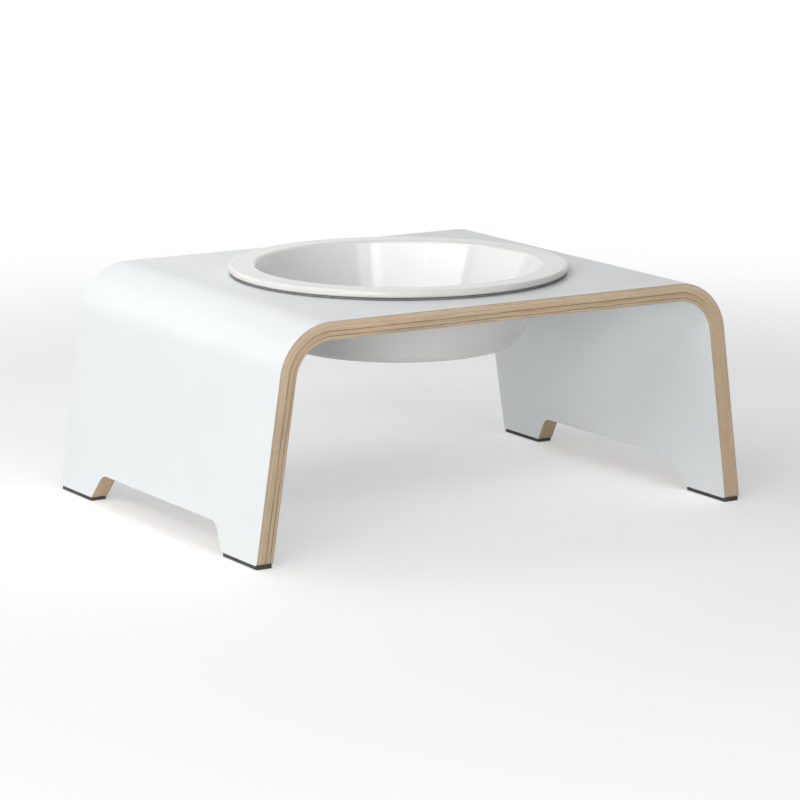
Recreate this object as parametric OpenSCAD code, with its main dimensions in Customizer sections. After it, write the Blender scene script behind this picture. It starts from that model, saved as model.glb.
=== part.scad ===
// Dog feeder stand: a bridge of moulded plywood with a lift-out bowl in its top.
// Millimetres, +Z up. The origin is on the floor, under the middle of the bowl.
// X runs across the stand from leg to leg, and Y from front to back.

/* [Stand] */
// Height of the top face above the floor
stand_h = 150.5; // [120:0.5:240]
// Width across the outside of the legs, at the floor
stand_w = 368; // [340:1:480]
// Depth of the top, front to back
stand_d = 270; // [262:1:360]
// Angle at which the legs splay outwards
leg_splay = 8; // [0:0.5:14]
// How far each edge of a leg draws in from the bend to the foot
leg_draw_in = 2; // [0:0.5:10]
// Radius of the bends, measured on the inside
bend_r = 25; // [15:1:40]

/* [Plywood] */
// Thickness of each of the seven veneers
veneer_t = 1.5; // [1:0.1:2]
// Thickness of the white laminate on each side
laminate_t = 0.7; // [0.4:0.1:1.2]

/* [Notch between the feet] */
// Width of the notch at the floor
notch_w = 182; // [120:1:190]
// Height of the notch above the floor
notch_h = 19.5; // [14:0.5:40]
// Slant of the notch's sides from upright
notch_slant = 36; // [10:1:45]
// Radius of the notch's upper corners
notch_r = 9; // [3:0.5:14]
// Radius of the outer corners at the underside of the feet
foot_r = 2; // [1:0.5:3]

/* [Foot pads] */
// Thickness of a pad
pad_t = 2.5; // [1:0.5:4]
// How far a pad stays inside the foot's edges
pad_inset = 0.3; // [0.2:0.1:2]
// Corner radius of a pad
pad_r = 1.5; // [1:0.5:4]

/* [Bowl seat] */
// Diameter of the hole in the top
hole_d = 206; // [190:1:212]
// Play between the bowl's wall and the edge of the hole, all round
wall_play = 1.5; // [0.5:0.1:3]
// Thickness of the ring under the rim
ring_t = 1.2; // [0.8:0.1:3]
// How far the ring stays inside the rim's edge
ring_inset = 0.8; // [0.3:0.1:2]
// Gap between the ring and each piece that it touches
seat_gap = 0.2; // [0.1:0.05:0.4]

/* [Bowl] */
// How far the rim reaches past the edge of the hole
rim_reach = 9; // [8:0.5:15]
// Thickness of the rim
rim_t = 4.6; // [4:0.1:8]
// Radius of the rim's outer edges
rim_edge_r = 1.9; // [0.5:0.1:1.9]
// How far the mouth stays inside the edge of the hole
mouth_inset = 8.4; // [6:0.2:14]
// Radius of the mouth's edge
mouth_edge_r = 3; // [1:0.5:4]
// Depth of the bowl from the top of the rim to the underside of its base
bowl_h = 53; // [40:0.5:70]
// Diameter at which the wall would meet the base
base_d = 157.4; // [130:0.2:175]
// Thickness of the base, and of the wall where it meets the base
wall_t = 7; // [4:0.5:9]
// Radius of the base's outer edge
base_edge_r = 8; // [4:1:14]
// Radius where the wall meets the bowl's floor
floor_edge_r = 20; // [6:1:24]
// Width of the foot ring under the base
foot_ring_w = 9; // [5:0.5:14]
// Height of the foot ring
foot_ring_h = 1.5; // [0.5:0.1:2.5]

/* [Hidden] */
$fn = 96;

// Finishes
laminate_white = "#f2f4f3";
long_grain = "#c7ab86";
cross_grain = "#9e7f5c";
rubber_grey = "#4b4c4d";
glaze_white = "#eceae6";

// Length by which a cutting shape runs past what it cuts
overrun = 5;
// Depth by which a round crosses a straight that it would otherwise only touch
hair = 0.005;

// The shell of nine sheets, and its bends
veneers = 7;
shell_t = 2 * laminate_t + veneers * veneer_t;
bend_outer_r = bend_r + shell_t;

// The legs seen from the side, from the start of the straight to the underside of the feet
leg_top_z = stand_h - bend_outer_r * (1 - sin(leg_splay));
leg_taper = atan(leg_draw_in / (leg_top_z - pad_t));
foot_end_y = stand_d / 2 - leg_draw_in;
foot_start_y = notch_w / 2 - pad_t * tan(notch_slant);

// Heights of the ring and the bowl
ring_z = stand_h + seat_gap;
seat_z = ring_z + ring_t + seat_gap;
rim_z = seat_z + rim_t;
base_z = rim_z - bowl_h;
floor_z = base_z + wall_t;

// Radii of the bowl: the wall's slope is how far it runs out for each millimetre that it rises
rim_r = hole_d / 2 + rim_reach;
mouth_r = hole_d / 2 - mouth_inset;
wall_slope = (hole_d / 2 - wall_play - base_d / 2) / (stand_h - base_z);
seat_r = base_d / 2 + (seat_z - base_z) * wall_slope;
floor_r = base_d / 2 + wall_t * (wall_slope - norm([1, wall_slope]));
base_flat_r = base_d / 2 - base_edge_r * tan((90 - atan(wall_slope)) / 2);
foot_ring_r = base_flat_r - foot_ring_w;

// Half width of the shell at height z, on the face that lies depth below the outer one
function leg_x(z, depth) = stand_w / 2 - z * tan(leg_splay) - depth / cos(leg_splay);

// Centre of the right bend of an arch that is half_w wide on each side at its foot
function arch_centre(half_w, top, slant, bend) =
    [half_w - (top - bend) * tan(slant) - bend / cos(slant), top - bend];

// Filled arch with its foot on the X axis, sides that lean in by slant and round upper corners.
// Each face lies depth inside the nominal one, and the foot runs past below the axis.
module arch(half_w, top, slant, bend, depth = 0, past = overrun) {
    centre = arch_centre(half_w, top, slant, bend);
    r = bend - depth;
    side_l = top / cos(slant) + past;
    side_w = side_l * sin(slant) + bend;
    for (right = [0, 1])
        mirror([right, 0])
            translate(centre) {
                circle(r = r);
                rotate(slant) translate([-side_w, -side_l]) square([side_w + r, side_l]);
            }
    translate([-centre.x, -past]) square([2 * centre.x, centre.y + r + past]);
}

// Rectangle with its lowest corner at the origin and round corners
module rounded_rectangle(size, r) {
    translate([r, 0]) square([size.x - 2 * r, size.y]);
    translate([0, r]) square([size.x, size.y - 2 * r]);
    for (x = [r, size.x - r], y = [r, size.y - r])
        translate([x, y]) circle(r = r);
}

// Filled half of a cup, right of its axis: a flat base and a straight wall, with a round corner.
// The wall runs from the point base through the point mouth, up to the height top.
module cup_side(mouth, base, base_r, top) {
    lean = atan2(mouth.x - base.x, mouth.y - base.y);
    reach = base_r * tan((90 - lean) / 2);
    height = top - base.y;
    intersection() {
        translate([0, base.y - overrun]) square([mouth.x + height, height + overrun]);
        translate([base.x - reach, base.y + base_r]) {
            circle(r = base_r);
            translate([-base.x, -base_r]) square([base.x, height]);
            rotate(-lean) translate([-base.x, 0]) square([base.x + base_r - hair, height / cos(lean)]);
        }
    }
}

// Front view of all that lies inside the face at a depth below the outer one
module shell_front(depth, past) {
    arch(stand_w / 2, stand_h, leg_splay, bend_outer_r, depth, past);
}

// Side view of the stand: tapered legs, each with two feet and a notch between them
module stand_side() {
    difference() {
        intersection() {
            translate([-stand_d / 2, 0]) square([stand_d, stand_h + overrun]);
            translate([0, leg_top_z])
                mirror([0, 1])
                    arch(stand_d / 2, leg_top_z - pad_t, leg_taper, foot_r, past = stand_h);
        }
        arch(notch_w / 2, notch_h, notch_slant, notch_r);
    }
}

// One bent sheet of the shell, whose outer face lies depth below the shell's own
module sheet(depth, thickness) {
    difference() {
        intersection() {
            rotate([90, 0, 0])
                linear_extrude(stand_d + 2 * overrun, center = true)
                    difference() {
                        shell_front(depth, overrun);
                        shell_front(depth + thickness, 2 * overrun);
                    }
            rotate([90, 0, 90]) linear_extrude(stand_w + 2 * overrun, center = true) stand_side();
        }
        translate([0, 0, leg_top_z]) cylinder(d = hole_d, h = stand_h);
    }
}

// Veneer number i, counted from 0 under the outer laminate
module veneer(i) {
    sheet(laminate_t + i * veneer_t, veneer_t);
}

// Pad under one foot: side is 1 on the right and -1 on the left, end is 1 at the back and -1 at the front
module pad(side, end) {
    inner_x = leg_x(pad_t, shell_t) + pad_inset;
    outer_x = leg_x(pad_t, 0) - pad_inset;
    near_y = foot_start_y + pad_inset;
    far_y = foot_end_y - pad_inset;
    mirror([side < 0 ? 1 : 0, 0, 0])
        mirror([0, end < 0 ? 1 : 0, 0])
            translate([inner_x, near_y, 0])
                linear_extrude(pad_t)
                    rounded_rectangle([outer_x - inner_x, far_y - near_y], pad_r);
}

module outer_laminate() { color(laminate_white) sheet(0, laminate_t); }

module outer_face_veneer() { color(long_grain) veneer(0); }

module outer_cross_veneer() { color(cross_grain) veneer(1); }

module outer_core_veneer() { color(long_grain) veneer(2); }

module middle_cross_veneer() { color(cross_grain) veneer(3); }

module inner_core_veneer() { color(long_grain) veneer(4); }

module inner_cross_veneer() { color(cross_grain) veneer(5); }

module inner_face_veneer() { color(long_grain) veneer(6); }

module inner_laminate() { color(laminate_white) sheet(shell_t - laminate_t, laminate_t); }

module front_left_pad() { color(rubber_grey) pad(-1, -1); }

module front_right_pad() { color(rubber_grey) pad(1, -1); }

module back_left_pad() { color(rubber_grey) pad(-1, 1); }

module back_right_pad() { color(rubber_grey) pad(1, 1); }

// Flat ring that lies on the top round the hole and carries the rim
module bowl_ring() {
    color(rubber_grey)
        translate([0, 0, ring_z])
            difference() {
                cylinder(r = rim_r - ring_inset, h = ring_t);
                translate([0, 0, -overrun])
                    cylinder(r = seat_r + seat_gap, h = ring_t + 2 * overrun);
            }
}

// Half section of the rim, with its outer edges round and its inner side left for the mouth
module rim_side() {
    flat_h = rim_t - 2 * rim_edge_r;
    inner_w = rim_r - mouth_r + wall_t;
    translate([rim_r - rim_edge_r, seat_z + rim_edge_r]) {
        circle(r = rim_edge_r);
        square([rim_edge_r, flat_h]);
        translate([0, flat_h]) circle(r = rim_edge_r);
        translate([-inner_w, -rim_edge_r]) square([inner_w, rim_t]);
    }
}

// Half section of what rounds off the mouth's edge.
// The circle reaches past the rim's top and the wall by a hair, so that it crosses both.
module mouth_flare() {
    lean = atan2(mouth_r - floor_r, rim_z - floor_z);
    inset = mouth_edge_r - hair;
    far = 2 * mouth_edge_r;
    translate([mouth_r + inset * tan((90 - lean) / 2), rim_z - inset])
        difference() {
            polygon([[0, 0], [0, far], [-far, far], [-far * cos(lean), far * sin(lean)]]);
            circle(r = mouth_edge_r);
        }
}

// Bowl: flat rim that lies over the edge of the hole, straight sloping wall, and a base with a foot ring
module bowl() {
    color(glaze_white)
        rotate_extrude()
            difference() {
                union() {
                    cup_side([seat_r, seat_z], [base_d / 2, base_z], base_edge_r, seat_z + rim_t / 2);
                    rim_side();
                }
                cup_side([mouth_r, rim_z], [floor_r, floor_z], floor_edge_r, rim_z + overrun);
                mouth_flare();
                translate([0, base_z - overrun]) square([foot_ring_r, overrun + foot_ring_h]);
            }
}

outer_laminate();
outer_face_veneer();
outer_cross_veneer();
outer_core_veneer();
middle_cross_veneer();
inner_core_veneer();
inner_cross_veneer();
inner_face_veneer();
inner_laminate();
front_left_pad();
front_right_pad();
back_left_pad();
back_right_pad();
bowl_ring();
bowl();
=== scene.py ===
"""Dresses the dog feeder stand: a bridge of moulded ply, its foot pads, the seat ring and the bowl.

Everything is in metres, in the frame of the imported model: +X from leg to leg, +Y to the back, +Z up.
"""

import logging
import math
from contextlib import contextmanager
from dataclasses import dataclass
from enum import Enum
from typing import Callable, Dict, Iterator, List, Optional, Sequence, Tuple, Union

import bmesh
import bpy
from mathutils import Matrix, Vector


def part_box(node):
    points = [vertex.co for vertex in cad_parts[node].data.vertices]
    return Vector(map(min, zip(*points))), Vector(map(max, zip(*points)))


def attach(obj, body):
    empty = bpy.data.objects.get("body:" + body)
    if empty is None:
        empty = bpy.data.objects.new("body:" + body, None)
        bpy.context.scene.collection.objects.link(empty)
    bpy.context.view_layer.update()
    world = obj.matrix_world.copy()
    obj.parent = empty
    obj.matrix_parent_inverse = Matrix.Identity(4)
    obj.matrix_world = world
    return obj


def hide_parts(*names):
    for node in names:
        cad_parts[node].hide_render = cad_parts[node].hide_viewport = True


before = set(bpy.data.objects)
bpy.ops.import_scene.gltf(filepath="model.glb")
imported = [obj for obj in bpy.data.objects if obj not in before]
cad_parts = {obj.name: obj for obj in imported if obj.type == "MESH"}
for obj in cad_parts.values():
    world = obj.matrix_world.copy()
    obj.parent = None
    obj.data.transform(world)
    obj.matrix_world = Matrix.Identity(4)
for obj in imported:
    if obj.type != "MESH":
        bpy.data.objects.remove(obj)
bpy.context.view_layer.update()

LOG = logging.getLogger("feeder")

Colour = Tuple[float, float, float]
Point = Tuple[float, float, float]
Socket = bpy.types.NodeSocket
Feed = Union[float, Tuple[float, ...], Socket]

Y_AXIS = Vector((0, 1, 0))
Z_AXIS = Vector((0, 0, 1))

# Radius of the hole in the top, which the bowl hangs in
HOLE_R = 0.103

# Two places closer than this are the same place
TOUCH = 2e-5
# Points of a mesh closer than this are merged
MERGE = 1e-6
# A face whose normal has more than this along an axis faces that way
FACING = 0.9
# Length by which a cutting shape runs past what it cuts
OVERRUN = 0.005
# Edges that fold by more than this stay crisp when a piece is shaded smooth
CRISP = math.radians(30)


class Bench:
    """One mesh piece on the bench, shaped with Blender's own tools."""

    def __init__(self, item: bpy.types.Object, name: str) -> None:
        """Puts an object on the bench.

        Args:
            item: the object, selected and active, whose place goes into its mesh.
            name: name of the piece.
        """
        self.object = item
        self.object.name = name
        self.object.data.name = name
        bpy.ops.object.transform_apply(location=True, rotation=True, scale=True)

    @classmethod
    def start(cls, name: str, add: Callable[..., object], **settings: object) -> "Bench":
        """Adds a primitive that is then shaped.

        Args:
            name: name of the piece.
            add: the operator that adds the primitive.
            settings: size and place of the primitive.

        Returns:
            The piece.
        """
        bpy.ops.object.select_all(action="DESELECT")
        add(**settings)
        return cls(bpy.context.object, name)

    @contextmanager
    def editing(self, part: str = "FACE") -> Iterator[None]:
        """Holds the piece in edit mode.

        Args:
            part: what is picked there, VERT, EDGE or FACE.

        Returns:
            A context in which the mesh operators act on this piece alone.
        """
        self.take()
        bpy.ops.object.mode_set(mode="EDIT")
        bpy.ops.mesh.select_mode(type=part)
        yield
        bpy.ops.object.mode_set(mode="OBJECT")

    def take(self) -> None:
        """Makes this piece the only one that is selected."""
        bpy.ops.object.select_all(action="DESELECT")
        self.object.select_set(True)
        bpy.context.view_layer.objects.active = self.object

    def pick(self, kind: str, wanted: Callable[..., bool]) -> None:
        """Selects the parts of the mesh that pass a test, in edit mode.

        Args:
            kind: which parts, faces or edges.
            wanted: true for a part to be selected.
        """
        bpy.ops.mesh.select_all(action="DESELECT")
        mesh = bmesh.from_edit_mesh(self.object.data)
        for part in getattr(mesh, kind):
            if wanted(part):
                part.select_set(True)
        bmesh.update_edit_mesh(self.object.data)

    def pick_faces(self, wanted: Callable[[bmesh.types.BMFace], bool]) -> None:
        """Selects the faces that pass a test, in edit mode."""
        self.pick("faces", wanted)

    def pick_edges(self, wanted: Callable[[bmesh.types.BMEdge], bool]) -> None:
        """Selects the edges that pass a test, in edit mode."""
        self.pick("edges", wanted)

    def slice_off(self, point: Point, outward: Vector) -> None:
        """Cuts off all that lies beyond a plane, where its normal points, and closes the cut."""
        bpy.ops.mesh.select_all(action="SELECT")
        bpy.ops.mesh.bisect(plane_co=point, plane_no=outward, use_fill=True, clear_outer=True)

    def cut_with(self, cutter: "Bench") -> None:
        """Takes the shape of another piece out of this one.

        Args:
            cutter: the piece whose shape is cut out. It stays as it is.
        """
        self.take()
        bpy.ops.object.modifier_add(type="BOOLEAN")
        cut = self.object.modifiers[-1]
        cut.operation = "DIFFERENCE"
        cut.solver = "EXACT"
        cut.object = cutter.object
        bpy.ops.object.modifier_apply(modifier=cut.name)

    def close_up(self) -> None:
        """Merges doubles and turns every face outwards."""
        with self.editing():
            bpy.ops.mesh.select_all(action="SELECT")
            bpy.ops.mesh.remove_doubles(threshold=MERGE)
            bpy.ops.mesh.normals_make_consistent(inside=False)

    def smooth(self) -> None:
        """Shades the curves smooth and keeps flats flat and edges crisp."""
        self.take()
        bpy.ops.object.shade_smooth_by_angle(angle=CRISP, keep_sharp_edges=False)
        bpy.ops.object.modifier_add(type="WEIGHTED_NORMAL")
        weighting = self.object.modifiers[-1]
        weighting.keep_sharp = True
        bpy.ops.object.modifier_apply(modifier=weighting.name)

    def copy(self, name: str, step: Vector) -> "Bench":
        """Makes a copy with a mesh of its own.

        Args:
            name: name of the copy.
            step: how far the copy is moved.

        Returns:
            The copy.
        """
        self.take()
        bpy.ops.object.duplicate(linked=False)
        bpy.ops.transform.translate(value=step)
        return Bench(bpy.context.object, name)

    def scrap(self) -> None:
        """Deletes the piece, once a cutter has been used."""
        self.take()
        bpy.ops.object.delete()

    def write(self, attribute: str, value: Callable[[Vector], Point]) -> None:
        """Gives every point of the mesh a vector that the finish reads.

        Args:
            attribute: name of the vector.
            value: the vector of a point at that place.
        """
        mesh = self.object.data
        layer = mesh.attributes.new(name=attribute, type="FLOAT_VECTOR", domain="POINT")
        flat: List[float] = []
        for vertex in mesh.vertices:
            flat.extend(value(vertex.co))
        layer.data.foreach_set("vector", flat)

    def hand_over(self, body: str, node: str, slot: str, material: bpy.types.Material) -> bpy.types.Object:
        """Dresses the finished piece and joins it to the frame.

        Args:
            body: the body that it moves with.
            node: the solid that it stands for.
            slot: the record's slot for its finish; not used.
            material: its finish.

        Returns:
            The finished object.
        """
        self.object.data.materials.clear()
        self.object.data.materials.append(material)
        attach(self.object, body)
        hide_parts(node)
        return self.object


def rounded_path(corners: Sequence[Tuple[float, float, float]], step: float) -> List[Tuple[float, float]]:
    """Rounds the corners of a path in a plane.

    Args:
        corners: the path's corners, each with its radius.
        step: the turn between two points of an arc, in radians.

    Returns:
        The points of the rounded path.
    """
    points = [corners[0][:2]]
    for before, corner, after in zip(corners, corners[1:], corners[2:]):
        here = Vector(corner[:2])
        back = (Vector(before[:2]) - here).normalized()
        on = (Vector(after[:2]) - here).normalized()
        turn = math.pi - back.angle(on)
        radius = corner[2]
        if radius <= 0:
            points.append(tuple(here))
            continue
        middle = here + (back + on).normalized() * radius / math.cos(turn / 2)
        start = here + back * radius * math.tan(turn / 2) - middle
        side = 1 if back.cross(on) < 0 else -1
        count = max(2, math.ceil(turn / step))
        for i in range(count + 1):
            angle = side * turn * i / count
            c, s = math.cos(angle), math.sin(angle)
            points.append((middle.x + c * start.x - s * start.y, middle.y + s * start.x + c * start.y))
    points.append(corners[-1][:2])
    return points


def turned(name: str, profile: Sequence[Tuple[float, float]], steps: int) -> Bench:
    """Turns a piece on the upright axis, as on a lathe.

    Args:
        name: name of the piece.
        profile: the half section, as pairs of radius and height.
        steps: number of steps in a full turn.

    Returns:
        The turned piece, closed.
    """
    r, z = profile[0]
    piece = Bench.start(name, bpy.ops.mesh.primitive_plane_add, size=OVERRUN, location=(r, 0, z))
    with piece.editing("VERT"):
        bpy.ops.mesh.select_all(action="SELECT")
        bpy.ops.mesh.merge(type="CENTER")
        for (r0, z0), (r1, z1) in zip(profile, profile[1:]):
            bpy.ops.mesh.extrude_region_move(TRANSFORM_OT_translate={"value": (r1 - r0, 0, z1 - z0)})
        bpy.ops.mesh.select_all(action="SELECT")
        bpy.ops.mesh.spin(steps=steps, angle=math.tau, center=(0, 0, 0), axis=Z_AXIS)
    piece.close_up()
    return piece


class FinishGraph:
    """The node tree of one finish, written with short calls."""

    # Sockets of the Mix node that carry colours
    MIX_A, MIX_B, MIX_RESULT = 6, 7, 2

    def __init__(self, name: str) -> None:
        """Starts a material with a plain surface shader.

        Args:
            name: name of the material.
        """
        self.material = bpy.data.materials.new(name)
        self.material.use_nodes = True
        self.tree = self.material.node_tree
        self.surface = self.tree.nodes["Principled BSDF"]

    def feed(self, socket: Socket, value: Feed) -> None:
        """Links a socket to another one, or sets its value.

        Args:
            socket: the input.
            value: an output to link, or a number, vector or colour.
        """
        if isinstance(value, bpy.types.NodeSocket):
            self.tree.links.new(value, socket)
        elif socket.type == "RGBA":
            socket.default_value = (*value, 1.0)
        else:
            socket.default_value = value

    def add(self, kind: str, inputs: Dict[Union[str, int], Feed], **options: object) -> bpy.types.Node:
        """Adds a node.

        Args:
            kind: type of the node.
            inputs: what each input gets, by its name or number.
            options: the node's own settings.

        Returns:
            The node.
        """
        node = self.tree.nodes.new(kind)
        for option, value in options.items():
            setattr(node, option, value)
        for key, value in inputs.items():
            self.feed(node.inputs[key], value)
        return node

    def dress(self, **inputs: Feed) -> None:
        """Feeds the surface shader, each input by its name with _ for spaces."""
        for key, value in inputs.items():
            self.feed(self.surface.inputs[key.replace("_", " ")], value)

    def place(self) -> Socket:
        """Gives the place on the object, in metres."""
        return self.add("ShaderNodeTexCoord", {}).outputs["Object"]

    def written(self, attribute: str) -> Socket:
        """Gives a vector that is written on the mesh."""
        return self.add("ShaderNodeAttribute", {}, attribute_name=attribute).outputs["Vector"]

    def parts(self, vector: Socket) -> Tuple[Socket, Socket, Socket]:
        """Splits a vector into its three numbers."""
        split = self.add("ShaderNodeSeparateXYZ", {0: vector})
        return split.outputs[0], split.outputs[1], split.outputs[2]

    def stretched(self, vector: Socket, scale: Point, shift: Point = (0, 0, 0)) -> Socket:
        """Scales and then shifts a vector."""
        mapping = self.add("ShaderNodeMapping", {"Vector": vector, "Scale": scale, "Location": shift})
        return mapping.outputs[0]

    def noise(self, vector: Socket, scale: float, detail: float = 2, roughness: float = 0.5) -> Socket:
        """Gives cloudy noise from 0 to 1, with about scale clouds in one unit of the place."""
        inputs = {"Vector": vector, "Scale": scale, "Detail": detail, "Roughness": roughness}
        return self.add("ShaderNodeTexNoise", inputs).outputs[0]

    def cells(self, vector: Socket, scale: float) -> Socket:
        """Gives the distance to the nearest of scattered points."""
        return self.add("ShaderNodeTexVoronoi", {"Vector": vector, "Scale": scale}).outputs["Distance"]

    def math(self, operation: str, a: Feed, b: Feed = 0.0) -> Socket:
        """Works out one operation on two numbers."""
        return self.add("ShaderNodeMath", {0: a, 1: b}, operation=operation).outputs[0]

    def ease(self, value: Socket, low: Feed, high: Feed, out_low: float = 0, out_high: float = 1) -> Socket:
        """Turns the range from low to high into another one, which it never leaves, with soft ends."""
        inputs = {"Value": value, "From Min": low, "From Max": high, "To Min": out_low, "To Max": out_high}
        return self.add("ShaderNodeMapRange", inputs, interpolation_type="SMOOTHSTEP").outputs[0]

    def blend(self, factor: Socket, a: Feed, b: Feed) -> Socket:
        """Mixes two colours: a factor of 0 gives the first one and 1 the second."""
        inputs = {0: factor, self.MIX_A: a, self.MIX_B: b}
        return self.add("ShaderNodeMix", inputs, data_type="RGBA").outputs[self.MIX_RESULT]

    def shaded(self, colour: Socket, share: Socket) -> Socket:
        """Keeps only a share of a colour's light.

        Args:
            colour: the colour.
            share: the share that is kept, from 0 to 1.

        Returns:
            The darker colour.
        """
        inputs = {0: 1.0, self.MIX_A: colour, self.MIX_B: share}
        mix = self.add("ShaderNodeMix", inputs, data_type="RGBA", blend_type="MULTIPLY")
        return mix.outputs[self.MIX_RESULT]

    def bumped(self, height: Socket, depth: float, under: Optional[Socket] = None) -> Socket:
        """Turns heights from 0 to 1 into a rough surface.

        Args:
            height: the heights.
            depth: what a height of 1 measures.
            under: a rough surface that this one lies on.

        Returns:
            The bent normals.
        """
        inputs: Dict[Union[str, int], Feed] = {"Height": height, "Distance": depth}
        if under is not None:
            inputs["Normal"] = under
        return self.add("ShaderNodeBump", inputs).outputs[0]


# Range that holds most of a cloudy noise, and a wider one
NOISE_MID = (0.3, 0.7)
NOISE_WIDE = (0.25, 0.75)

# Vector on every sheet of the bridge: the way along the bend, the place from front to back, and the
# depth into the sheet
SHEET_PLACE = "sheet_place"


class GrainRun(Enum):
    """Which way the fibres of a veneer run."""

    ALONG_BEND = "along_bend"
    FRONT_TO_BACK = "front_to_back"


@dataclass(frozen=True)
class LaminateFinish:
    """Satin white laminate: a thin white sheet on a brown core that shows at cut edges."""

    white: Colour = (0.829, 0.855, 0.858)
    shade: Colour = (0.804, 0.835, 0.841)
    core: Colour = (0.46, 0.37, 0.295)
    core_light: Colour = (0.64, 0.54, 0.45)
    white_t: float = 0.00016
    white_t_range: Tuple[float, float] = (0.8, 1.2)
    clouds_per_m: float = 11
    smudges_per_m: float = 34
    peel_per_m: float = 420
    peel_depth: float = 0.00003
    grit_per_m: float = 2600
    grit_depth: float = 0.000008
    layers_per_m: Point = (90, 90, 9000)
    layer_range: Tuple[float, float] = (0.35, 0.65)
    roughness: Tuple[float, float] = (0.33, 0.47)
    specular: float = 0.42

    def material(self) -> bpy.types.Material:
        """Builds the material.

        Returns:
            The material.
        """
        g = FinishGraph("white_laminate")
        place = g.written(SHEET_PLACE)
        depth = g.parts(place)[2]
        clouds = g.noise(place, self.clouds_per_m, 3)
        smudges = g.noise(place, self.smudges_per_m, 5, 0.62)
        peel = g.noise(place, self.peel_per_m, 2)
        grit = g.noise(place, self.grit_per_m, 2)
        wander = g.ease(grit, *NOISE_MID, *(self.white_t * share for share in self.white_t_range))
        face = g.blend(g.ease(clouds, *NOISE_MID), self.white, self.shade)
        layers = g.noise(g.stretched(place, self.layers_per_m), 1, 2)
        core = g.blend(g.ease(layers, *self.layer_range), self.core, self.core_light)
        inside = g.math("GREATER_THAN", depth, wander)
        low = g.bumped(peel, self.peel_depth)
        g.dress(
            Base_Color=g.blend(inside, face, core),
            Roughness=g.ease(smudges, *NOISE_WIDE, *self.roughness),
            Specular_IOR_Level=self.specular,
            Normal=g.bumped(grit, self.grit_depth, low),
        )
        return g.material


@dataclass(frozen=True)
class Timber:
    """Colours of one kind of wood in the ply."""

    light: Colour
    dark: Colour
    pore: Colour


GOLDEN = Timber((0.80, 0.625, 0.44), (0.655, 0.502, 0.349), (0.46, 0.34, 0.225))
TAN = Timber((0.735, 0.562, 0.386), (0.565, 0.427, 0.29), (0.37, 0.268, 0.17))
BROWN = Timber((0.705, 0.535, 0.36), (0.375, 0.262, 0.16), (0.25, 0.17, 0.103))
OCHRE = Timber((0.73, 0.56, 0.388), (0.50, 0.366, 0.242), (0.33, 0.236, 0.15))
SAPWOOD = Timber((0.73, 0.555, 0.38), (0.62, 0.465, 0.31), (0.52, 0.38, 0.25))


@dataclass(frozen=True)
class Veneer:
    """One veneer of the ply: its node, its wood, and how much its late wood stands out."""

    node: str
    timber: Timber
    late_wood: float = 0.0


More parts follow.
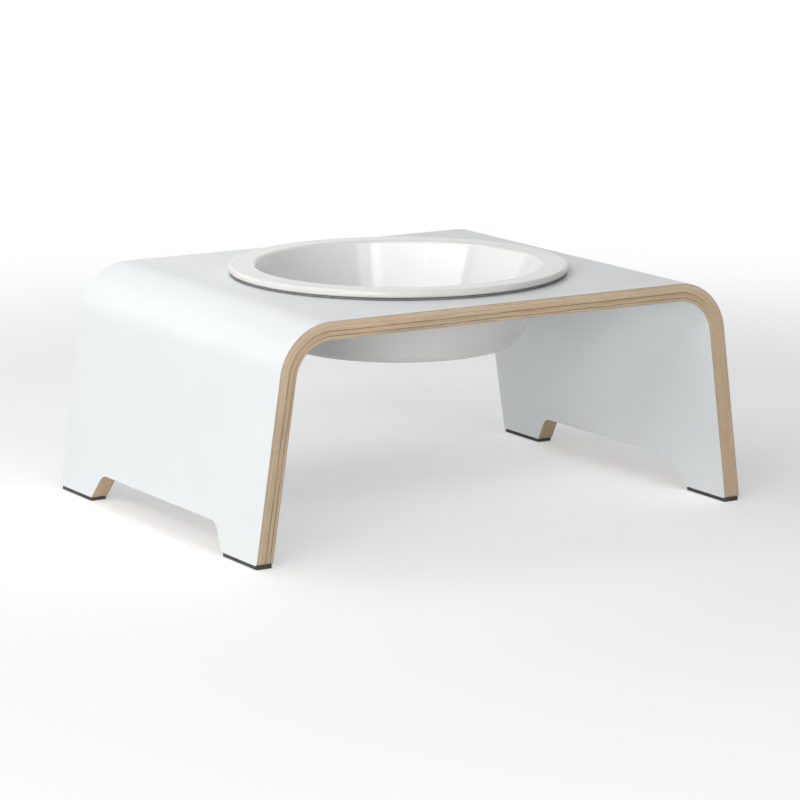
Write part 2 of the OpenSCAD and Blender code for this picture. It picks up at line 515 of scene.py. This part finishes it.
@dataclass(frozen=True)
class VeneerFinish:
    """Sanded and oiled edge of one veneer, with the glue on both sides of it.

    The size of a pattern is its length along the fibres and its width across them. The wood turns to
    sapwood to the right, from sap_from to sap_to along the bend, and inside the front and back edges,
    between the two places in sap_y. Near the front and back edges of the left leg its colour is painted
    darker: a painted shade that keeps only a share of its light.
    """

    veneer: Veneer
    run: GrainRun
    thickness: float
    seed: float
    seed_spread: Point = (1, 1.7, 0.6)
    band_size: Tuple[float, float] = (0.055, 0.006)
    streak_size: Tuple[float, float] = (0.022, 0.0008)
    fibre_size: Tuple[float, float] = (0.005, 0.00022)
    vessel_size: Tuple[float, float] = (0.0035, 0.00032)
    pore_range: Tuple[float, float] = (0.6, 0.7)
    pore_share: float = 0.7
    heart_range: Tuple[float, float] = (0.39, 0.61)
    sap_range: Tuple[float, float] = (0.36, 0.64)
    rings_per_m: float = 28
    ring_top: Tuple[float, float] = (0.3, 0.6)
    ring_fade: float = 0.28
    glue: Colour = (0.40, 0.28, 0.18)
    glue_t: float = 0.0001
    glue_t_range: Tuple[float, float] = (0.3, 1.6)
    glue_wobbles_per_m: float = 160
    glue_fade: Tuple[float, float] = (0.3, 1.0)
    glue_share: float = 0.6
    sap_from: float = 0.16
    sap_to: float = 0.2
    sap_y: Tuple[float, float] = (0.095, 0.115)
    # Share of its light that the left leg keeps near its front and back edges: a painted shade
    left_painted_shade: float = 0.87
    relief: float = 0.00003
    pore_relief: float = 0.8
    roughness: Tuple[float, float] = (0.5, 0.68)
    specular: float = 0.3

    def along(self, length: float, across: float) -> Point:
        """Works out the scale of a pattern on the veneer.

        Args:
            length: its length along the fibres.
            across: its width across them.

        Returns:
            The scale along the bend, from front to back, and into the depth.
        """
        if self.run is GrainRun.ALONG_BEND:
            return (1 / length, 1 / across, 1 / across)
        return (1 / across, 1 / length, 1 / across)

    def coloured(self, g: FinishGraph, timber: Timber, darkness: Socket, pores: Socket) -> Socket:
        """Colours the wood: darkness is 0 in early wood and 1 in late wood, pores 1 in an open pore."""
        wood = g.blend(darkness, timber.light, timber.dark)
        return g.blend(g.math("MULTIPLY", pores, self.pore_share), wood, timber.pore)

    def material(self) -> bpy.types.Material:
        """Builds the material.

        Returns:
            The material.
        """
        g = FinishGraph(self.veneer.node)
        place = g.written(SHEET_PLACE)
        way, across, depth = g.parts(place)
        shift = tuple(self.seed * share for share in self.seed_spread)
        bands = g.noise(g.stretched(place, self.along(*self.band_size), shift), 1, 3, 0.55)
        streaks = g.noise(g.stretched(place, self.along(*self.streak_size), shift), 1, 4, 0.62)
        fibres = g.noise(g.stretched(place, self.along(*self.fibre_size), shift), 1, 2)
        vessels = g.noise(g.stretched(place, self.along(*self.vessel_size), shift), 1, 1)
        pores = g.ease(vessels, *self.pore_range)
        ring_wave = g.noise(g.stretched(place, (self.rings_per_m, self.rings_per_m, 0), shift), 1, 2)
        ring_top = g.ease(ring_wave, *NOISE_MID, *(self.thickness * share for share in self.ring_top))
        ring_depth = g.math("SUBTRACT", depth, ring_top)
        ring = g.ease(ring_depth, 0, self.ring_fade * self.thickness, -0.5, 0.5)
        mixed = g.math("ADD", g.math("MULTIPLY", bands, 0.5), g.math("MULTIPLY", streaks, 0.5))
        ringed = g.math("ADD", mixed, g.math("MULTIPLY", ring, self.veneer.late_wood))
        heart = self.coloured(g, self.veneer.timber, g.ease(ringed, *self.heart_range), pores)
        sap = self.coloured(g, SAPWOOD, g.ease(mixed, *self.sap_range), pores)
        wander = g.math("ADD", way, g.math("MULTIPLY", bands, self.sap_to - self.sap_from))
        middle = g.ease(g.math("ABSOLUTE", across), *self.sap_y, 1, 0)
        wood = g.blend(g.math("MAXIMUM", middle, g.ease(wander, self.sap_from, self.sap_to)), heart, sap)
        # Painted shade: the left leg's front and back edges are darkened in colour to this share
        left_painted_shade = g.ease(wander, -self.sap_to, -self.sap_from, self.left_painted_shade, 1)
        wood = g.shaded(wood, g.math("MAXIMUM", middle, left_painted_shade))
        edge = g.math("MINIMUM", depth, g.math("SUBTRACT", self.thickness, depth))
        wobbles = (self.glue_wobbles_per_m, self.glue_wobbles_per_m, 0)
        wobble = g.noise(g.stretched(place, wobbles, shift), 1, 3)
        spread = g.ease(wobble, *NOISE_MID, *(self.glue_t * share for share in self.glue_t_range))
        glued = g.math("SUBTRACT", 1.0, g.ease(g.math("DIVIDE", edge, spread), *self.glue_fade))
        relief = g.math("SUBTRACT", fibres, g.math("MULTIPLY", pores, self.pore_relief))
        g.dress(
            Base_Color=g.blend(g.math("MULTIPLY", glued, self.glue_share), wood, self.glue),
            Roughness=g.ease(streaks, *NOISE_MID, *self.roughness),
            Specular_IOR_Level=self.specular,
            Normal=g.bumped(relief, self.relief),
        )
        return g.material


@dataclass(frozen=True)
class RubberFinish:
    """Dark grey rubber with a fine pebble."""

    name: str
    dark: Colour
    dusty: Colour
    pebble: float
    roughness: Tuple[float, float]
    dust_per_m: float = 160
    dust_range: Tuple[float, float] = (0.42, 0.72)
    pebble_depth: float = 0.00005
    fine_per_pebble: float = 4
    fine_depth: float = 0.00001
    specular: float = 0.35

    def material(self) -> bpy.types.Material:
        """Builds the material.

        Returns:
            The material.
        """
        g = FinishGraph(self.name)
        place = g.place()
        dust = g.noise(place, self.dust_per_m, 4, 0.65)
        pebble = g.noise(place, 1 / self.pebble, 2)
        fine = g.noise(place, self.fine_per_pebble / self.pebble, 2)
        g.dress(
            Base_Color=g.blend(g.ease(dust, *self.dust_range), self.dark, self.dusty),
            Roughness=g.ease(fine, *NOISE_MID, *self.roughness),
            Specular_IOR_Level=self.specular,
            Normal=g.bumped(fine, self.fine_depth, g.bumped(pebble, self.pebble_depth)),
        )
        return g.material


@dataclass(frozen=True)
class GlazeFinish:
    """Thick white glaze that thins to a warmer tone on the edges, and a bare foot ring."""

    rim_r: float
    mouth_r: float
    rim_z: float
    foot_z: float
    white: Colour = (0.83, 0.825, 0.81)
    shade: Colour = (0.80, 0.795, 0.778)
    thin: Colour = (0.72, 0.69, 0.64)
    bare: Colour = (0.56, 0.49, 0.41)
    edge_w: float = 0.0016
    edge_range: Tuple[float, float] = (0.2, 0.8)
    edge_share: Tuple[float, float] = (0.2, 0.6)
    bare_h: float = 0.00035
    bare_fade: float = 0.25
    bare_wobbles_per_m: float = 300
    bare_roughness: float = 0.8
    clay_per_m: float = 1500
    clouds_per_m: float = 16
    ripples_per_m: float = 52
    ripple_depth: float = 0.00012
    peel_per_m: float = 900
    peel_depth: float = 0.0000025
    pits_per_m: float = 260
    pit_range: Tuple[float, float] = (0.05, 0.11)
    pit_depth: float = 0.00001
    roughness: Tuple[float, float] = (0.08, 0.12)
    specular: float = 0.52

    def material(self) -> bpy.types.Material:
        """Builds the material.

        Returns:
            The material.
        """
        g = FinishGraph("white_glaze")
        place = g.place()
        height = g.parts(place)[2]
        flat = g.stretched(place, (1, 1, 0))
        radius = g.add("ShaderNodeVectorMath", {0: flat}, operation="LENGTH").outputs["Value"]
        clouds = g.noise(place, self.clouds_per_m, 3)
        ripples = g.noise(place, self.ripples_per_m, 1)
        peel = g.noise(place, self.peel_per_m, 1)
        pits = g.ease(g.cells(place, self.pits_per_m), *self.pit_range)
        rim_edge = g.ease(radius, self.rim_r - self.edge_w, self.rim_r)
        from_mouth = g.math("ABSOLUTE", g.math("SUBTRACT", radius, self.mouth_r + self.edge_w / 2))
        below = g.math("SUBTRACT", self.rim_z, height)
        mouth_edge = g.ease(g.math("MAXIMUM", from_mouth, below), 0.0, self.edge_w, 1, 0)
        edges = g.math("MAXIMUM", rim_edge, mouth_edge)
        thin = g.math("MULTIPLY", edges, g.ease(ripples, *self.edge_range, *self.edge_share))
        glaze = g.blend(g.ease(clouds, *NOISE_MID), self.white, self.shade)
        glaze = g.blend(thin, glaze, self.thin)
        wobble = g.noise(place, self.bare_wobbles_per_m, 2)
        wander = g.math("ADD", height, g.math("MULTIPLY", wobble, -self.bare_h))
        bare = g.ease(wander, self.foot_z, self.foot_z + self.bare_fade * self.bare_h, 1, 0)
        clay = g.blend(g.noise(place, self.clay_per_m, 3), self.bare, self.thin)
        gloss = g.ease(clouds, *NOISE_WIDE, *self.roughness)
        waves = g.bumped(ripples, self.ripple_depth)
        skin = g.bumped(peel, self.peel_depth, waves)
        g.dress(
            Base_Color=g.blend(bare, glaze, clay),
            Roughness=g.math("MAXIMUM", gloss, g.math("MULTIPLY", bare, self.bare_roughness)),
            Specular_IOR_Level=self.specular,
            Normal=g.bumped(pits, self.pit_depth, skin),
        )
        return g.material


class ShowFace(Enum):
    """Which face of a sheet is seen."""

    OUTER = "outer"
    INNER = "inner"
    HIDDEN = "hidden"


@dataclass(frozen=True)
class Sheet:
    """One sheet of the pressed stack, with its depth below the outer face."""

    node: str
    slot: str
    depth: float
    thickness: float
    show: ShowFace


@dataclass
class Bridge:
    """The moulded ply bridge: nine bent sheets with tapered, notched legs and a round hole."""

    width: float = 0.368
    splay: float = math.radians(8)
    draw_in: float = 0.002
    inner_bend_r: float = 0.025
    veneer_t: float = 0.0015
    laminate_t: float = 0.0007
    notch_w: float = 0.182
    notch_h: float = 0.0195
    notch_slant: float = math.radians(36)
    notch_r: float = 0.009
    foot_r: float = 0.002
    hole_r: float = HOLE_R
    arris_r: float = 0.00025
    bend_steps: int = 40
    hole_steps: int = 192
    notch_steps: int = 10
    foot_steps: int = 6
    arris_steps: int = 2
    seed_step: float = 3.7
    veneers: Tuple[Veneer, ...] = (
        Veneer("outer_face_veneer", GOLDEN),
        Veneer("outer_cross_veneer", GOLDEN, late_wood=0.25),
        Veneer("outer_core_veneer", GOLDEN),
        Veneer("middle_cross_veneer", BROWN, late_wood=0.5),
        Veneer("inner_core_veneer", TAN),
        Veneer("inner_cross_veneer", BROWN, late_wood=0.4),
        Veneer("inner_face_veneer", OCHRE),
    )

    def __post_init__(self) -> None:
        """Works out the sizes that follow from the frame and the driving ones."""
        low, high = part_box("outer_laminate")
        self.top_z = high.z
        self.half_d = high.y
        self.foot_z = low.z
        self.shell_t = 2 * self.laminate_t + len(self.veneers) * self.veneer_t
        self.bend_r = self.inner_bend_r + self.shell_t
        self.bend_z = self.top_z - self.bend_r
        run = self.bend_z * math.tan(self.splay) + self.bend_r / math.cos(self.splay)
        self.bend_x = self.width / 2 - run
        self.bend_turn = math.pi / 2 - self.splay
        self.leg_top_z = self.bend_z + self.bend_r * math.sin(self.splay)
        self.taper = math.atan(self.draw_in / (self.leg_top_z - self.foot_z))

    def sheets(self) -> List[Sheet]:
        """Lists the sheets of the stack.

        Returns:
            The sheets from the outside to the inside.
        """
        stack = [Sheet("outer_laminate", "white_laminate", 0, self.laminate_t, ShowFace.OUTER)]
        for i, veneer in enumerate(self.veneers):
            slot = "cross_grain_veneer" if i % 2 else "long_grain_veneer"
            depth = self.laminate_t + i * self.veneer_t
            stack.append(Sheet(veneer.node, slot, depth, self.veneer_t, ShowFace.HIDDEN))
        depth = self.shell_t - self.laminate_t
        stack.append(Sheet("inner_laminate", "white_laminate", depth, self.laminate_t, ShowFace.INNER))
        return stack

    def on_shell(self, point: Vector) -> Point:
        """Finds a place on the shell.

        Args:
            point: a point of the bridge.

        Returns:
            The way along the outer face from the middle of the top, signed as X is, the place from
            front to back, and the depth below the outer face.
        """
        side = math.copysign(1, point.x)
        u = abs(point.x) - self.bend_x
        w = point.z - self.bend_z
        turn = min(max(math.atan2(u, w), 0), self.bend_turn)
        way = min(abs(point.x), self.bend_x) + self.bend_r * turn
        if turn >= self.bend_turn:
            way += u * math.sin(self.splay) - w * math.cos(self.splay)
        radius = u * math.sin(turn) + w * math.cos(turn)
        return (side * way, point.y, self.bend_r - radius)

    def on_sheet(self, point: Vector, sheet: Sheet) -> Point:
        """Finds a place on one sheet.

        Args:
            point: a point of the sheet.
            sheet: the sheet.

        Returns:
            The way and the place as on the shell, and the depth below the show face of the sheet, or
            below its outer face if neither is seen.
        """
        way, across, depth = self.on_shell(point)
        below = depth - sheet.depth
        return (way, across, sheet.thickness - below if sheet.show is ShowFace.INNER else below)

    def blank(self, sheet: Sheet) -> Bench:
        """Bends one sheet over the mould and trims its legs.

        Args:
            sheet: the sheet.

        Returns:
            The sheet without its hole and notches.
        """
        name = f"{sheet.node}_sheet"
        size = (2 * self.bend_x, 2 * self.half_d, sheet.thickness)
        middle = (0, 0, self.top_z - sheet.depth - sheet.thickness / 2)
        piece = Bench.start(name, bpy.ops.mesh.primitive_cube_add, size=1, location=middle, scale=size)
        leg_l = self.leg_top_z / math.cos(self.splay)
        narrowed = 1 - self.draw_in / self.half_d * self.leg_top_z / (self.leg_top_z - self.foot_z)
        with piece.editing():
            for side in (-1, 1):
                piece.pick_faces(lambda face: face.normal.x * side > FACING
                                 and face.verts[0].co.x * side > 0)
                bpy.ops.mesh.spin(
                    steps=self.bend_steps, angle=side * self.bend_turn,
                    center=(side * self.bend_x, 0, self.bend_z), axis=-Y_AXIS,
                )
                down = (side * leg_l * math.sin(self.splay), 0, -leg_l * math.cos(self.splay))
                bpy.ops.mesh.extrude_region_move(TRANSFORM_OT_translate={"value": down})
                bpy.ops.transform.resize(value=(1, narrowed, 1), center_override=(0, 0, 0))
            piece.slice_off((0, 0, self.foot_z), -Z_AXIS)
        with piece.editing("EDGE"):
            piece.pick_edges(lambda edge: all(abs(v.co.z - self.foot_z) < TOUCH for v in edge.verts)
                             and abs(edge.verts[0].co.y - edge.verts[1].co.y) < self.draw_in)
            reach = self.foot_r * math.tan((math.pi / 2 - self.taper) / 2)
            bpy.ops.mesh.bevel(offset=reach, segments=self.foot_steps, affect="EDGES")
        return piece

    def notch_cutter(self) -> Bench:
        """Shapes the bar that cuts both notches.

        Returns:
            The bar, which runs past both legs.
        """
        height = self.notch_h + OVERRUN
        size = (self.width + 2 * OVERRUN, self.notch_w + 2 * OVERRUN * math.tan(self.notch_slant), height)
        middle = (0, 0, self.notch_h - height / 2)
        cutter = Bench.start(
            "notch_cutter", bpy.ops.mesh.primitive_cube_add, size=1, location=middle, scale=size,
        )
        with cutter.editing():
            cutter.pick_faces(lambda face: face.normal.z > FACING)
            narrow = (self.notch_w - 2 * self.notch_h * math.tan(self.notch_slant)) / size[1]
            bpy.ops.transform.resize(value=(1, narrow, 1))
        with cutter.editing("EDGE"):
            cutter.pick_edges(lambda edge: all(abs(v.co.z - self.notch_h) < TOUCH for v in edge.verts)
                              and abs(edge.verts[0].co.y - edge.verts[1].co.y) < TOUCH)
            reach = self.notch_r * math.tan((math.pi / 2 - self.notch_slant) / 2)
            bpy.ops.mesh.bevel(offset=reach, segments=self.notch_steps, affect="EDGES")
        return cutter

    def hole_cutter(self) -> Bench:
        """Shapes the plug that cuts the hole for the bowl.

        Returns:
            The plug, which runs past both faces of the top.
        """
        return Bench.start(
            "hole_cutter", bpy.ops.mesh.primitive_cylinder_add, vertices=self.hole_steps,
            radius=self.hole_r, depth=4 * self.shell_t, location=(0, 0, self.top_z),
        )

    def ease_arris(self, piece: Bench, sheet: Sheet) -> None:
        """Takes the sharp edge off the show face of a laminate.

        Args:
            piece: the laminate.
            sheet: its place in the stack.
        """
        face_depth = 0 if sheet.show is ShowFace.OUTER else self.shell_t

        def sharp(edge: bmesh.types.BMEdge) -> bool:
            """Tells whether an edge lies round the show face.

            Args:
                edge: an edge of the laminate.

            Returns:
                True if both its ends are on that face and it isn't flat.
            """
            if any(abs(self.on_shell(v.co)[2] - face_depth) > TOUCH for v in edge.verts):
                return False
            return edge.calc_face_angle(0) > CRISP

        with piece.editing("EDGE"):
            piece.pick_edges(sharp)
            bpy.ops.mesh.bevel(offset=self.arris_r, segments=self.arris_steps, affect="EDGES")

    def finishes(self) -> Dict[str, bpy.types.Material]:
        """Builds the finishes of the sheets.

        Returns:
            The finish of each sheet, by its node.
        """
        laminate = LaminateFinish().material()
        result = {"outer_laminate": laminate, "inner_laminate": laminate}
        for i, veneer in enumerate(self.veneers):
            run = GrainRun.FRONT_TO_BACK if i % 2 else GrainRun.ALONG_BEND
            result[veneer.node] = VeneerFinish(veneer, run, self.veneer_t, self.seed_step * i).material()
        return result

    def build(self) -> List[bpy.types.Object]:
        """Builds and dresses the nine sheets.

        Returns:
            The finished sheets.
        """
        cutters = (self.notch_cutter(), self.hole_cutter())
        finishes = self.finishes()
        done = []
        for sheet in self.sheets():
            piece = self.blank(sheet)
            for cutter in cutters:
                piece.cut_with(cutter)
            if sheet.show is not ShowFace.HIDDEN:
                self.ease_arris(piece, sheet)
            piece.close_up()
            piece.smooth()
            piece.write(SHEET_PLACE, lambda point: self.on_sheet(point, sheet))
            done.append(piece.hand_over("stand", sheet.node, sheet.slot, finishes[sheet.node]))
        for cutter in cutters:
            cutter.scrap()
        return done


@dataclass
class FootPads:
    """Four thin pads under the feet."""

    corner_r: float = 0.0015
    edge_r: float = 0.0003
    corner_steps: int = 8
    edge_steps: int = 3
    names: Tuple[str, ...] = ("front_left_pad", "front_right_pad", "back_left_pad", "back_right_pad")

    def build(self) -> List[bpy.types.Object]:
        """Shapes one pad, copies it under every foot and dresses the pads.

        Returns:
            The finished pads.
        """
        low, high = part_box(self.names[0])
        first = Bench.start(
            f"{self.names[0]}_foot", bpy.ops.mesh.primitive_cube_add, size=1,
            location=(low + high) / 2, scale=high - low,
        )
        with first.editing("EDGE"):
            first.pick_edges(lambda edge: abs(edge.verts[0].co.z - edge.verts[1].co.z) > TOUCH)
            bpy.ops.mesh.bevel(offset=self.corner_r, segments=self.corner_steps, affect="EDGES")
            first.pick_edges(lambda edge: abs(edge.verts[0].co.z - edge.verts[1].co.z) < TOUCH)
            bpy.ops.mesh.bevel(offset=self.edge_r, segments=self.edge_steps, affect="EDGES")
        first.close_up()
        pads = [first]
        for name in self.names[1:]:
            pads.append(first.copy(f"{name}_foot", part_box(name)[0] - low))
        rubber = RubberFinish(
            "grey_rubber", dark=(0.055, 0.056, 0.058), dusty=(0.115, 0.113, 0.11), pebble=0.0007,
            roughness=(0.72, 0.9),
        ).material()
        done = []
        for pad, name in zip(pads, self.names):
            pad.smooth()
            done.append(pad.hand_over("stand", name, "grey_rubber", rubber))
        return done


@dataclass
class SeatRing:
    """Flat ring of soft rubber on which the rim of the bowl rests."""

    wall_r: float
    wall_gap: float = 0.0002
    lip_r: float = 0.0005
    edge_r: float = 0.0002
    steps: int = 192
    arc_step: float = math.radians(15)

    def build(self) -> List[bpy.types.Object]:
        """Turns and dresses the ring.

        Returns:
            The finished ring.
        """
        low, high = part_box("bowl_ring")
        inner_r = self.wall_r + self.wall_gap
        middle = (inner_r, (low.z + high.z) / 2, 0)
        profile = rounded_path((
            middle,
            (inner_r, low.z, self.edge_r), (high.x, low.z, self.lip_r),
            (high.x, high.z, self.lip_r), (inner_r, high.z, self.edge_r),
            middle,
        ), self.arc_step)
        ring = turned("seat_ring", profile, self.steps)
        ring.smooth()
        rubber = RubberFinish(
            "ring_rubber", dark=(0.2, 0.2, 0.202), dusty=(0.26, 0.26, 0.26), pebble=0.0009,
            roughness=(0.55, 0.72),
        ).material()
        return [ring.hand_over("ring", "bowl_ring", "grey_rubber", rubber)]


@dataclass
class Bowl:
    """Glazed bowl: a flat rim, a straight sloping wall and a base on a foot ring."""

    hole_r: float = HOLE_R
    wall_play: float = 0.0015
    mouth_inset: float = 0.0084
    mouth_edge_r: float = 0.003
    rim_t: float = 0.0046
    rim_edge_r: float = 0.0019
    base_r: float = 0.0787
    wall_t: float = 0.007
    base_edge_r: float = 0.008
    floor_edge_r: float = 0.020
    foot_ring_w: float = 0.009
    foot_ring_h: float = 0.0015
    foot_edge_r: float = 0.0005
    seat_fillet_r: float = 0.0004
    steps: int = 192
    arc_step: float = math.radians(6)

    def __post_init__(self) -> None:
        """Works out the heights and radii that follow from the frame and the driving sizes."""
        low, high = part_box("bowl")
        self.base_z = low.z
        self.rim_z = high.z
        self.rim_r = high.x
        self.mouth_r = self.hole_r - self.mouth_inset
        self.seat_z = self.rim_z - self.rim_t
        stand_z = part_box("outer_laminate")[1].z
        self.slope = (self.hole_r - self.wall_play - self.base_r) / (stand_z - self.base_z)
        self.seat_r = self.base_r + (self.seat_z - self.base_z) * self.slope

    def profile(self) -> List[Tuple[float, float]]:
        """Draws the half section from the middle of the underside to the middle of the floor.

        Returns:
            Pairs of radius and height.
        """
        floor_z = self.base_z + self.wall_t
        recess_z = self.base_z + self.foot_ring_h
        floor_r = self.base_r + self.wall_t * (self.slope - math.hypot(1, self.slope))
        base_flat_r = self.base_r - self.base_edge_r * math.tan((math.pi / 2 - math.atan(self.slope)) / 2)
        foot_r = base_flat_r - self.foot_ring_w
        return rounded_path((
            (0, recess_z, 0), (foot_r, recess_z, self.foot_edge_r), (foot_r, self.base_z, self.foot_edge_r),
            (self.base_r, self.base_z, self.base_edge_r), (self.seat_r, self.seat_z, self.seat_fillet_r),
            (self.rim_r, self.seat_z, self.rim_edge_r), (self.rim_r, self.rim_z, self.rim_edge_r),
            (self.mouth_r, self.rim_z, self.mouth_edge_r), (floor_r, floor_z, self.floor_edge_r),
            (0, floor_z, 0),
        ), self.arc_step)

    def build(self) -> List[bpy.types.Object]:
        """Turns and glazes the bowl.

        Returns:
            The finished bowl.
        """
        bowl = turned("glazed_bowl", self.profile(), self.steps)
        bowl.smooth()
        glaze = GlazeFinish(self.rim_r, self.mouth_r, self.rim_z, self.base_z).material()
        return [bowl.hand_over("bowl", "bowl", "white_glaze", glaze)]


def outwards(azimuth: float, elevation: float) -> Vector:
    """Points away from the object: to its front at azimuth 0, to its right at a quarter turn."""
    level = math.cos(elevation)
    return Vector((math.sin(azimuth) * level, -math.cos(azimuth) * level, math.sin(elevation)))


@dataclass(frozen=True)
class Softbox:
    """One rectangular lamp, placed by its direction from the middle of the object.

    The azimuth is in degrees to the right of the camera, and the elevation in degrees.
    """

    name: str
    azimuth: float
    elevation: float
    distance: float
    size: Tuple[float, float]
    radiance: float

    def build(self, target: Vector, front: float) -> None:
        """Hangs the lamp.

        Args:
            target: the point that it faces.
            front: azimuth of the camera, in radians.
        """
        away = outwards(front + math.radians(self.azimuth), math.radians(self.elevation))
        lamp = bpy.data.lights.new(self.name, "AREA")
        lamp.shape = "RECTANGLE"
        lamp.size, lamp.size_y = self.size
        lamp.energy = self.radiance * math.pi * self.size[0] * self.size[1]
        holder = bpy.data.objects.new(self.name, lamp)
        holder.location = target + away * self.distance
        holder.rotation_euler = away.to_track_quat("Z", "Y").to_euler()
        bpy.context.collection.objects.link(holder)


def seen_rays(tree: bpy.types.NodeTree) -> Socket:
    """Marks the rays that show the background: from the camera, in gloss and through glass.

    Args:
        tree: the node tree that needs the mark.

    Returns:
        1 for such a ray and 0 for light on the object.
    """
    path = tree.nodes.new("ShaderNodeLightPath")
    seen = path.outputs["Is Camera Ray"]
    for ray in ("Is Glossy Ray", "Is Transmission Ray"):
        either = tree.nodes.new("ShaderNodeMath")
        either.operation = "MAXIMUM"
        tree.links.new(seen, either.inputs[0])
        tree.links.new(path.outputs[ray], either.inputs[1])
        seen = either.outputs[0]
    return seen


@dataclass
class Studio:
    """Pale floor, soft lamps, and the camera at the photograph's angle."""

    target: Vector = Vector((0, 0, 0.0755))
    camera_azimuth: float = math.radians(-31.577)
    camera_elevation: float = math.radians(11.171)
    camera_distance: float = 2.4589
    frame_px: float = 800
    focal_px: float = 3706.5
    axis_px: Tuple[float, float] = (398.1, 383.4)
    sensor: float = 36
    clip_start: float = 0.01
    floor_size: float = 12
    floor_white: Colour = (0.93, 0.93, 0.93)
    floor_roughness: float = 0.9
    floor_glow: float = 0.30
    floor_fade: Tuple[float, float] = (0.35, 1.1)
    fill: float = 0.212
    softboxes: Tuple[Softbox, ...] = (
        Softbox("front_window", -1.3, 41, 2.0, (1.55, 0.28), 4.75),
        Softbox("front_side", 29, 41, 2.0, (0.64, 0.28), 2.25),
        Softbox("side_window", -48.3, 38.5, 2.0, (1.12, 0.3), 4.4),
        Softbox("left_back", -100, 21, 1.5, (1.8, 0.7), 1.15),
        Softbox("left_over", -95, 68, 0.45, (0.32, 0.22), 2.0),
        Softbox("front_left", -22, 5, 3.0, (1.4, 1.0), 8.4),
        Softbox("far_left", -150, 27, 1.6, (0.9, 0.5), 0.5),
    )

    def build_camera(self) -> None:
        """Sets up the camera that was fitted to the photograph."""
        back = outwards(self.camera_azimuth, self.camera_elevation)
        lens = bpy.data.cameras.new("camera")
        lens.sensor_width = self.sensor
        lens.lens = self.focal_px / self.frame_px * self.sensor
        lens.shift_x = (self.frame_px / 2 - self.axis_px[0]) / self.frame_px
        lens.shift_y = (self.axis_px[1] - self.frame_px / 2) / self.frame_px
        lens.clip_start = self.clip_start
        camera = bpy.data.objects.new("camera", lens)
        camera.location = self.target + back * self.camera_distance
        camera.rotation_euler = back.to_track_quat("Z", "Y").to_euler()
        bpy.context.collection.objects.link(camera)
        bpy.context.scene.camera = camera

    def build_world(self) -> None:
        """Fills the room with soft light, in front of a white background."""
        world = bpy.data.worlds.new("studio")
        world.use_nodes = True
        tree = world.node_tree
        background = tree.nodes["Background"]
        background.inputs["Color"].default_value = (1, 1, 1, 1)
        strength = tree.nodes.new("ShaderNodeMapRange")
        strength.inputs["To Min"].default_value = self.fill
        tree.links.new(seen_rays(tree), strength.inputs["Value"])
        tree.links.new(strength.outputs[0], background.inputs["Strength"])
        bpy.context.scene.world = world

    def build_floor(self) -> None:
        """Lays a floor that keeps the object's shadow and fades to a white background."""
        floor = Bench.start(
            "floor", bpy.ops.mesh.primitive_plane_add, size=self.floor_size, location=(0, 0, 0),
        )
        g = FinishGraph("pale_floor")
        seen = seen_rays(g.tree)
        radius = g.add("ShaderNodeVectorMath", {0: g.place()}, operation="LENGTH").outputs["Value"]
        away = g.math("MULTIPLY", seen, g.ease(radius, *self.floor_fade))
        g.dress(
            Base_Color=self.floor_white, Roughness=self.floor_roughness, Specular_IOR_Level=0.0,
            Emission_Color=(1.0, 1.0, 1.0), Emission_Strength=g.math("MULTIPLY", seen, self.floor_glow),
        )
        white = g.add("ShaderNodeEmission", {"Color": (1.0, 1.0, 1.0)})
        shown = g.add("ShaderNodeMixShader", {0: away, 1: g.surface.outputs[0], 2: white.outputs[0]})
        g.feed(g.tree.nodes["Material Output"].inputs["Surface"], shown.outputs[0])
        floor.object.data.materials.append(g.material)

    def build(self) -> None:
        """Sets up the camera, the room and the lamps."""
        self.build_camera()
        self.build_world()
        self.build_floor()
        for softbox in self.softboxes:
            softbox.build(self.target, self.camera_azimuth)
        bpy.context.scene.view_settings.view_transform = "Standard"


def main() -> None:
    """Builds the sub-assemblies and the studio, and reports each piece."""
    logging.basicConfig(level=logging.INFO, format="%(name)s: %(message)s")
    bowl = Bowl()
    for assembly in (Bridge(), FootPads(), SeatRing(bowl.seat_r), bowl):
        for piece in assembly.build():
            LOG.info("%s: %d faces", piece.name, len(piece.data.polygons))
    Studio().build()


if __name__ == "__main__":
    main()
